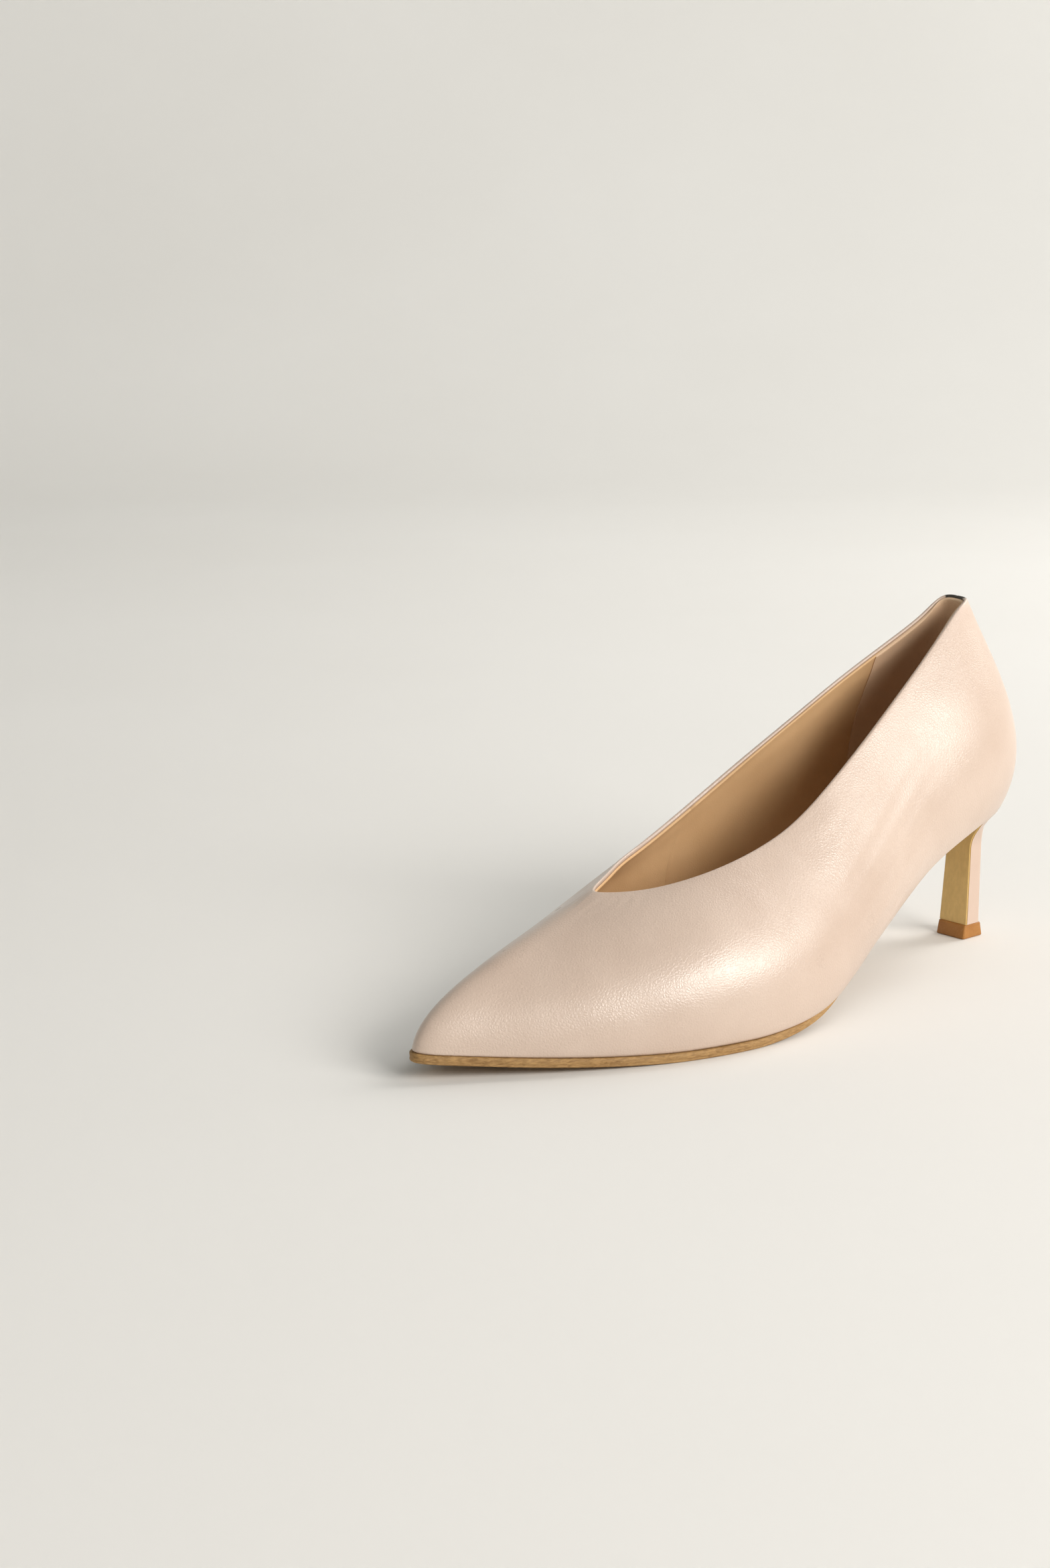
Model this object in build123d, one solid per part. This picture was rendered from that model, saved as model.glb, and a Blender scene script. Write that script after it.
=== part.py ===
"""High-heeled pump, left shoe: toe towards -Y, outer side +X, sole down, millimetres.

The outside of the shoe is one closed law. Twenty-six stations go round the shoe; each
holds a foot point on the feather edge, a point on the topline, and the two tangents of
the curve that joins them. Every layer (upper, stiffeners, linings) is a sheet between
two depths under that law, and every plate of the bottom is a slice of the bed surface.
"""
from build123d import *
import math
import os

import numpy as np

# ---------------------------------------------------------------- driving dimensions
SHOE_LENGTH = 242.0          # toe tip to the back of the feather edge
BALL_HEIGHT = 2.8            # top of the outsole under the ball
TREAD_START = 72.0           # flat tread, from the toe tip
TREAD_END = 94.0
TOE_SPRING = 5.5             # rise of the bed from the tread to the toe tip
HEEL_RISE = 47.4             # rise of the bed from the tread to the back of the seat
ARCH_TILT = 0.105            # sideways slope of the bed in the waist, inner side high
ARCH_TILT_START = 97.0
ARCH_TILT_END = 200.0

UPPER = 1.0                  # leather of the upper
TAPE = 0.25                  # topline tape and back seam tape
STIFFENER = 0.55             # toe puff, counter and interlining
LINING = 0.7
GLUE = 0.07                  # gap between layers
SOLE_GAP = 0.15              # gap between the outsole and the lasted upper
TAPE_DEPTH = UPPER + GLUE
STIFFENER_DEPTH = TAPE_DEPTH + TAPE + GLUE
LINING_DEPTH = STIFFENER_DEPTH + STIFFENER + GLUE
WALL = LINING_DEPTH + LINING
MARGIN_FRONT = 12.0          # lasting margin turned in under the insole
MARGIN_BACK = 4.5
FEATHER_LEG = 1.7            # how soon the wall turns into the margin
SEAM_GAP = 0.02              # open back seam, in stations
TAPE_WIDTH = 4.0
LINING_DROP = 0.35           # lining edge below the topline

OUTSOLE = 2.8
OUTSOLE_WAIST = 2.0
INSOLE = 1.8
TUCK = 0.85                  # stiff board under the rear of the insole
FOAM = 1.5
SOCK = 0.8
SHANK_WIDTH = 12.0
SHANK_THICKNESS = 1.4
SOCK_GAP = 0.3               # sideways clearance between the sock and the lining
BOARD_GAP = 1.9              # the insole stays clear of the rounded feather edge
TUCK_START = 116.0
SHANK_START = 108.0
SHANK_END = 216.0
SHANK_LIFT = 0.75            # underside of the shank above the bed
RIVET_PLACES = (122.0, 206.0)
RIVET_RADIUS = 1.5
RIVET_HEAD = 2.6
SOLE_END = 230.0             # the outsole plate ends inside the heel seat
HEEL_PAD_Y = 212.0
HEEL_PAD_X = 15.0
HEEL_PAD_LENGTH = 20.0

HEEL_BOTTOM = 5.05           # heel form, from the top piece to inside the seat
HEEL_TOP = 52.0
HEEL_STEPS = 16
HEEL_X = 1.0                 # heel stands this far to the outer side of the middle
HEEL_WIDTH = 11.8
HEEL_NARROWING = 0.06        # the post loses this much width per millimetre of height
HEEL_FRONT = 231.9
HEEL_FRONT_LEAN = 0.065      # front and back lean back by this much per millimetre
HEEL_BACK = 239.1
HEEL_BACK_LEAN = 0.045
HEEL_CORNER = 0.9
HEEL_WAIST = 32.0            # the sides flare above this height
HEEL_FLARE_WIDTH = 44.0
HEEL_FLARE_ROUND = 30.0      # the back corners round off as the heel meets the seat
HEEL_BREAST_START = 38.0     # the front curves forward above this height
HEEL_FLARE_DEPTH = 14.0
SEAT_INSET = 0.3             # the heel stays this far inside the feather edge
HEEL_COVER = 0.7
BREAST_FLAP = 1.0            # sole leather down the front of the heel
TIP_HEIGHT = 5.0
TIP_WIDTH = 12.4             # top piece on the floor, and where it meets the heel
TIP_DEPTH = 10.2
TIP_TOP_WIDTH = 12.0
TIP_TOP_DEPTH = 8.4
TIP_CORNER = 0.7
TIP_MIDDLE = 235.5
DOWEL_Y = 236.3
DOWEL_OUTER = 3.0
DOWEL_INNER = 2.0
DOWEL_BOTTOM = 5.3
DOWEL_TOP = 28.0
PIN_DIAMETER = 1.7
PIN_BARB = 0.8
PIN_BOTTOM = 1.6
PIN_TOP = 11.5
SCREW_Y = 235.6
SCREW_DIAMETER = 3.4
SCREW_HEAD = 3.1
SCREW_TIP = 43.5
NAIL_DIAMETER = 1.5
NAIL_HEAD = 1.3
NAIL_HEAD_HEIGHT = 0.4
NAIL_SUNK = 0.2              # nail heads lie this far under the top of the insole
NAIL_TIP = 47.0
NAILS = [(-8.2, 231.6), (8.0, 231.8), (-6.5, 235.1), (6.2, 235.0)]

# Stations round the shoe, from the toe tip along the outer side to the back and home.
# foot x, foot y, topline x, y, z, top angle below level, top handle, foot angle, foot
# handle (angles in degrees, handles as a share of the chord)
STATIONS = [
    (-3.5, 0.0, -1.8, 68.0, 45.0, 24, 0.40, 99, 0.22),
    (6.0, 11.0, 1.8, 69.8, 45.0, 24, 0.40, 95, 0.22),
    (17.0, 29.0, 6.0, 74.5, 45.3, 24, 0.40, 88, 0.26),
    (28.0, 50.0, 10.8, 81.5, 46.3, 26, 0.40, 80, 0.32),
    (37.0, 73.0, 15.6, 92.0, 48.5, 30, 0.40, 72, 0.38),
    (42.0, 97.0, 18.9, 107.0, 52.0, 36, 0.42, 68, 0.38),
    (41.5, 122.0, 20.3, 127.0, 58.5, 46, 0.40, 64, 0.36),
    (35.0, 146.0, 19.2, 147.0, 69.0, 54, 0.40, 60, 0.35),
    (29.0, 171.0, 16.4, 168.0, 81.5, 58, 0.40, 62, 0.34),
    (26.5, 193.0, 13.2, 190.0, 96.0, 56, 0.42, 64, 0.33),
    (25.5, 213.0, 9.8, 209.5, 108.8, 55, 0.44, 64, 0.34),
    (20.0, 231.0, 7.0, 222.5, 117.0, 58, 0.42, 62, 0.35),
    (9.0, 240.0, 4.6, 229.5, 119.8, 62, 0.40, 58, 0.36),
    (-1.0, 242.0, -1.0, 231.5, 120.3, 64, 0.38, 54, 0.37),
    (-11.0, 240.0, -6.6, 229.5, 119.5, 62, 0.40, 58, 0.36),
    (-21.5, 231.0, -8.5, 221.5, 114.0, 56, 0.42, 62, 0.35),
    (-25.5, 213.0, -10.0, 208.5, 107.0, 55, 0.44, 62, 0.33),
    (-23.5, 193.0, -13.0, 188.5, 96.5, 56, 0.42, 62, 0.33),
    (-21.0, 171.0, -16.0, 168.5, 85.0, 58, 0.40, 60, 0.33),
    (-22.0, 147.0, -19.4, 147.5, 72.5, 56, 0.38, 60, 0.33),
    (-28.5, 122.0, -22.6, 126.0, 59.5, 52, 0.38, 64, 0.34),
    (-35.5, 97.0, -23.2, 108.0, 50.5, 46, 0.36, 72, 0.34),
    (-36.0, 73.0, -20.0, 96.0, 47.6, 38, 0.36, 76, 0.34),
    (-30.0, 50.0, -15.0, 87.0, 46.6, 32, 0.38, 82, 0.30),
    (-21.8, 29.0, -10.0, 79.0, 46.0, 28, 0.40, 88, 0.25),
    (-13.0, 11.0, -5.5, 71.5, 45.3, 24, 0.40, 95, 0.22),
]
COUNT = len(STATIONS)
BACK = 13                    # station at the back seam

# ---------------------------------------------------------------- the bed surface
def bed_height(y):
    """Middle height of the top face of the outsole."""
    if y < TREAD_START:
        return BALL_HEIGHT + TOE_SPRING * (min(TREAD_START - y, TREAD_START * 1.1) / TREAD_START) ** 1.5
    share = min(max((y - TREAD_END) / (SHOE_LENGTH - TREAD_END), 0.0), 1.0)
    return BALL_HEIGHT + HEEL_RISE * share * share * (3 - 2 * share)


def bed_tilt(y):
    """Rise of the bed per millimetre towards the outer side."""
    share = (y - ARCH_TILT_START) / (ARCH_TILT_END - ARCH_TILT_START)
    return -ARCH_TILT * math.sin(math.pi * min(max(share, 0.0), 1.0)) ** 2


def bed(x, y, lift=0.0):
    """Height of the bed at a point, moved off the bed by lift at right angles to it."""
    step = 0.5
    slope = (bed_height(y + step) - bed_height(y - step)) / (2 * step)
    return bed_height(y) + bed_tilt(y) * x + lift * math.hypot(1.0, slope)


# ---------------------------------------------------------------- the outside law
def closed_spline(rows):
    """Second derivatives of the closed cubic spline through equally spaced rows."""
    ones = np.eye(len(rows))
    matrix = 4 * ones + np.roll(ones, 1, 0) + np.roll(ones, -1, 0)
    return np.linalg.solve(matrix, 6 * (np.roll(rows, 1, 0) - 2 * rows + np.roll(rows, -1, 0)))


ROWS = np.array(STATIONS, float)
BENDS = closed_spline(ROWS)


def station(u):
    """The nine station values at any place u round the shoe, toe 0, back 13."""
    low = math.floor(u)
    t = u - low
    i, j = low % COUNT, (low + 1) % COUNT
    straight = (1 - t) * ROWS[i] + t * ROWS[j]
    return straight + (((1 - t) ** 3 - (1 - t)) * BENDS[i] + (t ** 3 - t) * BENDS[j]) / 6


def profile(u, samples=61):
    """The outside curve at u in its upright plane: top point, direction, reach, heights."""
    fx, fy, tx, ty, tz, top_angle, top_handle, foot_angle, foot_handle = station(u)
    reach = math.hypot(fx - tx, fy - ty)
    heading = np.array([(fx - tx) / reach, (fy - ty) / reach])
    foot = bed(fx, fy)
    chord = math.hypot(reach, foot - tz)
    a, b = math.radians(top_angle), math.radians(foot_angle)
    corners = np.array([
        (0.0, tz),
        (chord * top_handle * math.cos(a), tz - chord * top_handle * math.sin(a)),
        (reach + chord * foot_handle * math.cos(b), foot + chord * foot_handle * math.sin(b)),
        (reach, foot),
    ])
    t = np.linspace(0, 1, samples)[:, None]
    weights = np.hstack([(1 - t) ** 3, 3 * (1 - t) ** 2 * t, 3 * (1 - t) * t * t, t ** 3])
    return np.array([tx, ty]), heading, weights @ corners


def spread(u, curve):
    """In-plane curve points as points in space."""
    top, heading, _ = profile(u, 2)
    return np.hstack([top + curve[:, :1] * heading, curve[:, 1:]])


def wall(u, depth):
    """Wall curve a true depth under the outside, still in the plane of u."""
    _, heading, curve = profile(u)
    run = np.gradient(curve, axis=0)
    run /= np.linalg.norm(run, axis=1)[:, None]
    inward = np.stack([run[:, 1], -run[:, 0]], axis=1)
    step = 0.05
    ahead = spread(u + step, profile(u + step)[2])
    behind = spread(u - step, profile(u - step)[2])
    along = ahead - behind
    down = np.hstack([run[:, :1] * heading, run[:, 1:]])
    normal = np.cross(along, down)
    normal /= np.linalg.norm(normal, axis=1)[:, None]
    inward_space = np.hstack([inward[:, :1] * heading, inward[:, 1:]])
    facing = np.abs(np.sum(normal * inward_space, axis=1))
    return curve + inward * (depth / np.maximum(facing, 0.55))[:, None]


def margin_length(u):
    """Width of the lasting margin: narrow round the heel seat."""
    share = 0.5 - 0.5 * math.cos(2 * math.pi * u / COUNT)
    return MARGIN_FRONT + (MARGIN_BACK - MARGIN_FRONT) * share ** 2


def resample(curve, start, stop, count):
    """Points spaced evenly along a curve between two lengths measured from its start."""
    length = np.concatenate([[0], np.cumsum(np.linalg.norm(np.diff(curve, axis=0), axis=1))])
    stop = length[-1] if stop is None else stop
    wanted = np.linspace(start, stop, count)
    return np.stack([np.interp(wanted, length, curve[:, k]) for k in (0, 1)], axis=1)


def lengths_of(curve):
    return np.concatenate([[0], np.cumsum(np.linalg.norm(np.diff(curve, axis=0), axis=1))])


def wall_length(u):
    return lengths_of(profile(u)[2])[-1]


def free_row(u, depth, drop, hem):
    """Section of a layer that stays on the wall, between two lengths from the topline."""
    return spread(u, resample(wall(u, depth), drop, hem, 9))


def lasted_row(u, depth, drop):
    """Section of a layer that runs down the wall, round the feather edge and under."""
    top, heading, _ = profile(u, 2)
    curve = wall(u, depth)
    leg = FEATHER_LEG - 0.2 * depth

    def floor_at(s):
        return np.array([s, bed(*(top + s * heading), depth)])

    above = np.array([z - floor_at(s)[1] for s, z in curve])
    lengths = lengths_of(curve)
    crossing = np.interp(0, -above, lengths)
    side = resample(curve, drop, crossing - leg, 13)
    corner = floor_at(np.interp(crossing, lengths, curve[:, 0]))
    start = floor_at(corner[0] - leg)
    t = np.linspace(0, 1, 7)[1:-1, None]
    turn = (1 - t) ** 2 * side[-1] + 2 * (1 - t) * t * corner + t * t * start
    foot_reach = profile(u, 2)[2][-1, 0]
    inside = np.linspace(corner[0] - leg, foot_reach - margin_length(u), 6)
    return spread(u, np.vstack([side, turn, [floor_at(s) for s in inside]]))


def sheet_face(rows):
    points = [[tuple(point) for point in row] for row in rows]
    return Face.make_surface_from_array_of_points(points, tol=0.03, min_deg=3, max_deg=3)


def sheet(row, start, stop, depth, thickness, per_station=4):
    """Solid between two depths of the law, from one place round the shoe to another."""
    places = np.linspace(start, stop, max(int((stop - start) * per_station) + 1, 5))
    outer = sheet_face([row(u, depth) for u in places])
    inner = sheet_face([row(u, depth + thickness) for u in places])
    faces = [outer, inner]
    for edge in outer.edges():
        match = min(inner.edges(), key=lambda e: (e @ 0.5 - edge @ 0.5).length)
        if (match @ 0 - edge @ 0).length > (match @ 1 - edge @ 0).length:
            match = Edge(match.wrapped.Reversed())
        faces.append(Face.make_surface_from_curves(edge, match))
    return Solid(Shell(faces))


# ---------------------------------------------------------------- upper and its layers
ROUND = (BACK + SEAM_GAP, BACK + COUNT - SEAM_GAP)
VAMP_END = 6.0               # vamp lining ends at this station on both sides
GRIP_HALF = 3.4              # heel grip, in stations each side of the back
SEAM_STEP = 0.03
PUFF_HALF = 3.2
COUNTER_HALF = 3.8


def puff_reach(u):
    """Height of the toe puff above the feather edge, measured along the wall."""
    return 8.0 + 26.0 * math.cos(0.5 * math.pi * min(abs(u) / PUFF_HALF, 1.0)) ** 2


def lasted(drop):
    return lambda u, depth: lasted_row(u, depth, drop(u) if callable(drop) else drop)


def make_layers():
    lining = lasted(LINING_DROP)
    grip_start = BACK - GRIP_HALF
    grip_stop = BACK + GRIP_HALF
    inner_vamp = COUNT - VAMP_END
    return {
        "upper": sheet(lasted(0.0), *ROUND, 0.0, UPPER),
        "topline_tape": sheet(lambda u, d: free_row(u, d, 1.0, 1.0 + TAPE_WIDTH), *ROUND,
                              TAPE_DEPTH, TAPE),
        "back_seam_tape": sheet(lasted(TAPE_WIDTH + 1.5), BACK - 0.5, BACK + 0.5,
                                TAPE_DEPTH, TAPE, 8),
        "toe_puff": sheet(lasted(lambda u: wall_length(u) - puff_reach(u)),
                          -PUFF_HALF, PUFF_HALF, STIFFENER_DEPTH, STIFFENER),
        "heel_counter": sheet(lasted(lambda u: 10 + 22 * ((u - BACK) / COUNTER_HALF) ** 2),
                              BACK - COUNTER_HALF, BACK + COUNTER_HALF,
                              STIFFENER_DEPTH, STIFFENER),
        "vamp_interlining": sheet(
            lambda u, d: free_row(u, d, 6.5, wall_length(u) - puff_reach(u) - 1.0),
            COUNTER_HALF - BACK + 0.3, BACK - COUNTER_HALF - 0.3, STIFFENER_DEPTH, STIFFENER),
        "vamp_lining": sheet(lining, -VAMP_END, VAMP_END, LINING_DEPTH, LINING),
        "quarter_lining_outer": sheet(lining, VAMP_END + SEAM_STEP, grip_start - SEAM_STEP,
                                      LINING_DEPTH, LINING),
        "heel_grip": sheet(lining, grip_start, grip_stop, LINING_DEPTH, LINING),
        "quarter_lining_inner": sheet(lining, grip_stop + SEAM_STEP, inner_vamp - SEAM_STEP,
                                      LINING_DEPTH, LINING),
    }


# ---------------------------------------------------------------- plates of the bottom
SIDE_REACH = 60.0            # half width of the slabs that plates are cut from
HIGH = 160.0
BOARD_LIFT = WALL + GLUE     # underside of the insole above the bed
BOARD_TOP = BOARD_LIFT + INSOLE
FOAM_LIFT = BOARD_TOP + SOLE_GAP
SOCK_LIFT = FOAM_LIFT + FOAM + GLUE


def slab(low, high, start, stop):
    """Wide slice of space between two lifts off the bed; low may vary with y."""
    def side(x):
        cuts = [c for c in (TREAD_START, TREAD_END) if start < c < stop]
        stops = [start, *cuts, stop]
        edges = []
        for lift in (low, high):
            for a, b in zip(stops, stops[1:]):
                ys = np.linspace(a, b, 2 if (a, b) == (TREAD_START, TREAD_END) else 25)
                points = [(x, y, bed(x, y, lift(y) if callable(lift) else lift)) for y in ys]
                edges.append(Line(*points) if len(points) == 2 else Spline(*points))
        top_start = len(stops) - 1
        edges.append(Line(edges[0] @ 0, edges[top_start] @ 0))
        edges.append(Line(edges[top_start - 1] @ 1, edges[-2] @ 1))
        return Wire.combine(edges)[0]

    return Solid.make_loft([side(-SIDE_REACH), side(SIDE_REACH)], True)


def prism(points):
    """Upright prism on a closed smooth outline."""
    outline = Face(Wire([Edge.make_spline([(x, y, -20) for x, y in points], periodic=True)]))
    return Solid.extrude(outline, Vector(0, 0, HIGH))


def around(inset):
    """Closed outline: the foot point at each place moved inwards by inset of that place."""
    points = []
    for u in np.arange(0, COUNT, 0.25):
        fx, fy, tx, ty = station(u)[:4]
        reach = math.hypot(fx - tx, fy - ty)
        share = inset(u) / reach
        points.append((fx + share * (tx - fx), fy + share * (ty - fy)))
    return points


def inside_wall(low, high, gap):
    """Closed outline of a plate that fits inside the linings between two lifts."""
    points = []
    for u in np.arange(0, COUNT, 0.25):
        top, heading, _ = profile(u, 2)
        curve = wall(u, WALL)
        places = []
        for lift in (low, high):
            above = [z - bed(*(top + s * heading), lift) for s, z in curve]
            places.append(np.interp(0, -np.array(above), curve[:, 0]))
        points.append(tuple(top + (min(places) - gap) * heading))
    return points


def only(shape):
    """The largest solid of a boolean result."""
    return max(shape.solids(), key=lambda solid: solid.volume)


def plate(low, high, start, stop, outline):
    return only(slab(low, high, start, stop) & prism(outline))


def normal_pin(x, y, low, high, radius):
    """Round pin square to the bed, between two lifts."""
    slope = math.atan(bed_height(y + 0.5) - bed_height(y - 0.5))
    return Pos(x, y, bed(x, y)) * Rot(math.degrees(slope), 0, 0) * Pos(0, 0, (low + high) / 2) \
        * Cylinder(radius, high - low)


def upright_pin(x, y, low, high, radius):
    return Pos(x, y, (low + high) / 2) * Cylinder(radius, high - low)


# ---------------------------------------------------------------- heel
def heel_section(z):
    """Width, front, back and back corner radius of the heel at a height."""
    rise = z - HEEL_BOTTOM
    flare = max((z - HEEL_WAIST) / (HEEL_TOP - HEEL_WAIST), 0.0) ** 2
    forward = max((z - HEEL_BREAST_START) / (HEEL_TOP - HEEL_BREAST_START), 0.0) ** 2
    return (HEEL_WIDTH - HEEL_NARROWING * rise + HEEL_FLARE_WIDTH * flare,
            HEEL_FRONT + HEEL_FRONT_LEAN * rise - HEEL_FLARE_DEPTH * forward,
            HEEL_BACK + HEEL_BACK_LEAN * rise,
            HEEL_CORNER + HEEL_FLARE_ROUND * flare)


def heel_levels():
    return np.linspace(HEEL_BOTTOM, HEEL_TOP, HEEL_STEPS + 1)


def heel_outline(z, side, front, back):
    """Level outline of the heel: square at the breast, rounded at the back corners."""
    width, low, high, radius = heel_section(z)
    left, right = HEEL_X - width / 2 + side, HEEL_X + width / 2 - side
    low, high = low + front, high - back
    radius = min(radius - min(side, 0.3), (right - left) / 2 - 0.3, high - low - 1.0)
    cut = radius * (1 - math.sqrt(0.5))
    return Wire([
        Line((right, low, z), (right, high - radius, z)),
        ThreePointArc((right, high - radius, z), (right - cut, high - cut, z), (right - radius, high, z)),
        Line((right - radius, high, z), (left + radius, high, z)),
        ThreePointArc((left + radius, high, z), (left + cut, high - cut, z), (left, high - radius, z)),
        Line((left, high - radius, z), (left, low, z)),
        Line((left, low, z), (right, low, z)),
    ])


def heel_block(side, front, back):
    """Heel outer form moved inwards at the sides, front and back."""
    form = Solid.make_loft([heel_outline(z, side, front, back) for z in heel_levels()], True)
    return only(form & prism(around(lambda u: SEAT_INSET + side)))


def breast_region(thickness):
    """Everything in front of the face that the breast flap is glued to."""
    reach = 40.0
    faces = []
    for z in heel_levels():
        front = heel_section(z)[1] + thickness
        faces.append(Pos(HEEL_X, front - reach / 2, z) * Rectangle(2 * reach, reach))
    return only(loft(faces))


def make_bottom():
    """Everything under the foot, from the outsole up to the sock."""
    def waist_lift(y):
        share = min(max((y - TREAD_END) / 40.0, 0.0), 1.0)
        return -OUTSOLE + (OUTSOLE - OUTSOLE_WAIST) * share * share * (3 - 2 * share)

    def sole_inset(u):
        stations = [-COUNT + BACK, -8, -7, -6, -5, 0, 5, 6, 7, 8, 9, 10, BACK]
        insets = [11, 9, 6, 2, -0.5, -0.7, -0.7, 0.5, 3.5, 7, 10, 12, 12]
        place = (u + BACK) % COUNT - BACK
        return float(np.interp(place, stations, insets))

    board_outline = inside_wall(BOARD_LIFT, BOARD_TOP, BOARD_GAP)
    sock_outline = inside_wall(FOAM_LIFT, SOCK_LIFT + SOCK, SOCK_GAP)
    sole_plate = plate(waist_lift, -SOLE_GAP, -20, SOLE_END, around(sole_inset))
    front_board = slab(BOARD_LIFT, BOARD_TOP, 3, TUCK_START)
    rear_board = slab(BOARD_LIFT + TUCK + GLUE, BOARD_TOP, TUCK_START - 1, SHOE_LENGTH)
    board = only((front_board + rear_board) & prism(board_outline))
    tuck = plate(BOARD_LIFT, BOARD_LIFT + TUCK, TUCK_START + GLUE, SHOE_LENGTH, board_outline)
    foam = plate(FOAM_LIFT, FOAM_LIFT + FOAM, 10, SHOE_LENGTH, sock_outline)
    sock = plate(SOCK_LIFT, SOCK_LIFT + SOCK, 9, SHOE_LENGTH, sock_outline)

    def pad(extra):
        return Pos(0, HEEL_PAD_Y, 0) * extrude(Ellipse(HEEL_PAD_X + extra, HEEL_PAD_LENGTH + extra), HIGH)

    heel_pad = only(foam & pad(0))
    foam = only(foam - pad(GLUE))

    strip = Pos(0, (SHANK_START + SHANK_END) / 2, 0) * extrude(
        SlotOverall(SHANK_END - SHANK_START, SHANK_WIDTH, rotation=90), HIGH)
    shank = only(slab(SHANK_LIFT, SHANK_LIFT + SHANK_THICKNESS, SHANK_START - 1, SHANK_END + 1) & strip)
    filler = plate(GLUE, BOARD_LIFT - GLUE, 14, SHANK_START - 2,
                   around(lambda u: margin_length(u) + 1.5))

    def rivet(y, extra):
        tail_top = SHANK_LIFT - 0.02
        head_top = BOARD_TOP - 0.25
        body = normal_pin(0, y, tail_top - 0.5, head_top, RIVET_RADIUS + extra)
        tail = normal_pin(0, y, tail_top - 0.5, tail_top, RIVET_HEAD + extra)
        head = normal_pin(0, y, head_top - 0.5, head_top + 3 * extra, RIVET_HEAD + extra)
        return body + tail + head

    rivets = [rivet(y, 0) for y in RIVET_PLACES]
    for y in RIVET_PLACES:
        hole = rivet(y, GLUE)
        shank = only(shank - hole)
        tuck = only(tuck - hole)
        board = only(board - hole)
    return {
        "outsole": sole_plate,
        "bottom_filler": filler,
        "shank": shank,
        "shank_rivets": Compound(rivets),
        "insole_tuck": tuck,
        "insole_board": board,
        "sock_foam": foam,
        "heel_pad": heel_pad,
        "sock_lining": sock,
    }


def make_heel(parts):
    """Heel core, its leather, the breast flap of the outsole, top piece and fasteners."""
    whole = heel_block(0, 0, 0)
    above = slab(-SOLE_GAP, 30, 190, 260)
    core = heel_block(HEEL_COVER + GLUE, BREAST_FLAP + GLUE, HEEL_COVER + GLUE)
    core = only(core - above - slab(-OUTSOLE, 0, 190, SOLE_END + GLUE))
    core = only(core - breast_region(BREAST_FLAP + GLUE))
    hollow = heel_block(HEEL_COVER, BREAST_FLAP, HEEL_COVER)
    flap = only((whole & breast_region(BREAST_FLAP)) - above)
    cover = only(whole - hollow - breast_region(BREAST_FLAP + GLUE) - above)
    cover = only(cover - parts["outsole"])
    parts["outsole"] = only(parts["outsole"] + flap)

    tip = only(loft([
        Pos(HEEL_X, TIP_MIDDLE, 0) * RectangleRounded(TIP_WIDTH, TIP_DEPTH, TIP_CORNER),
        Pos(HEEL_X, TIP_MIDDLE, TIP_HEIGHT) * RectangleRounded(TIP_TOP_WIDTH, TIP_TOP_DEPTH, TIP_CORNER),
    ]))

    def pin(extra):
        shaft = upright_pin(HEEL_X, DOWEL_Y, PIN_BOTTOM - extra, PIN_TOP, PIN_DIAMETER / 2 + extra)
        barb = upright_pin(HEEL_X, DOWEL_Y, PIN_BOTTOM - extra, PIN_BOTTOM + 0.9 + extra,
                           PIN_DIAMETER / 2 + PIN_BARB + extra)
        return shaft + barb

    dowel = upright_pin(HEEL_X, DOWEL_Y, DOWEL_BOTTOM, DOWEL_TOP, DOWEL_OUTER / 2) \
        - upright_pin(HEEL_X, DOWEL_Y, 0, HIGH, DOWEL_INNER / 2)
    core = core - upright_pin(HEEL_X, DOWEL_Y, 0, DOWEL_TOP + GLUE, DOWEL_OUTER / 2 + GLUE)

    head_z = bed(0, SCREW_Y, BOARD_TOP) - 1.2

    def screw(extra):
        shaft = upright_pin(HEEL_X, SCREW_Y, SCREW_TIP - extra, head_z + 0.5, SCREW_DIAMETER / 2 + extra)
        head = Pos(HEEL_X, SCREW_Y, head_z + 0.2) * Cone(SCREW_DIAMETER / 2 + extra, SCREW_HEAD + extra, 1.2)
        return shaft + head

    def nail(x, y, extra):
        top = bed(x, y, BOARD_TOP) - NAIL_SUNK
        shaft = upright_pin(x, y, NAIL_TIP - extra, top - 0.1, NAIL_DIAMETER / 2 + extra)
        return shaft + upright_pin(x, y, top - NAIL_HEAD_HEIGHT - extra, top + extra, NAIL_HEAD + extra)

    holes = screw(GLUE)
    for x, y in NAILS:
        holes = holes + nail(x, y, GLUE)
    core = only(core - holes)
    for name in ("insole_tuck", "insole_board"):
        parts[name] = only(parts[name] - holes)
    parts.update({
        "heel_core": core,
        "heel_cover": cover,
        "top_piece": only(tip - pin(GLUE)),
        "top_piece_pin": only(pin(0)),
        "heel_dowel": only(dowel),
        "heel_screw": only(screw(0)),
        "heel_nails": Compound([only(nail(x, y, 0)) for x, y in NAILS]),
    })


def main():
    parts = make_layers()
    parts.update(make_bottom())
    make_heel(parts)
    boxes = [shape.bounding_box() for shape in parts.values()]
    middle_x = (min(b.min.X for b in boxes) + max(b.max.X for b in boxes)) / 2
    middle_y = (min(b.min.Y for b in boxes) + max(b.max.Y for b in boxes)) / 2
    print(f"origin at {middle_x:.3f}, {middle_y:.3f} from the toe tip")
    os.makedirs("parts", exist_ok=True)
    for name, shape in parts.items():
        export_step(Pos(-middle_x, -middle_y, 0) * shape, f"parts/{name}.step")


if __name__ == "__main__":
    main()
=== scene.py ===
"""High-heeled pump, left shoe: the final look. Metres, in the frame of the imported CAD.

The outside of the shoe is the same closed law as in the CAD source: twenty-six stations
round the shoe, toe 0 to back 13, each with a foot point, a topline point and the two
tangents of the curve between them. The visible pieces are swept round it with folded
edges, creases, seams and trimmed sole edges that the CAD solids leave out.
"""

import math

import bmesh
import bpy
import numpy as np
from mathutils import Matrix, Vector


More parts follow.
